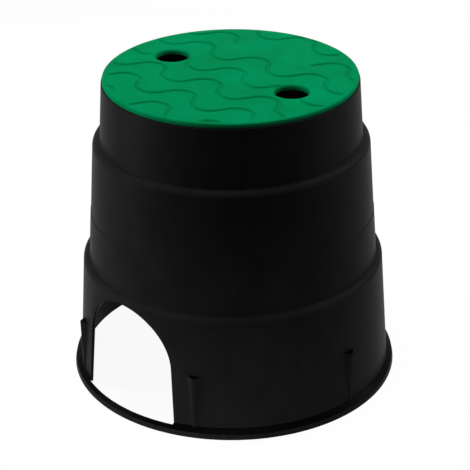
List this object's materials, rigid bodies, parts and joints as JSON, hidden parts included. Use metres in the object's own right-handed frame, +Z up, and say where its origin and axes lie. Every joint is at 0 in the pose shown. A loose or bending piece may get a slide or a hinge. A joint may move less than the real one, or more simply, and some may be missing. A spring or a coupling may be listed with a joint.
{
  "type": "irrigation valve box",
  "caption": "Round tapered irrigation valve box: a black moulded shell with pipe arches at the foot and a loose green lid with wave grooves and lift holes.",
  "frame": {"origin": "centre of the foot on the ground", "axes": "+Z up through the lid; the pipe openings face -Y and +Y"},
  "size_m": [0.2707, 0.2708, 0.255],
  "materials": {
    "body": "black moulded polypropylene, satin",
    "lid": "green moulded polypropylene, satin"
  },
  "bodies": {
    "root": {"body": "body", "lid": "lid"}
  },
  "joints": []
}
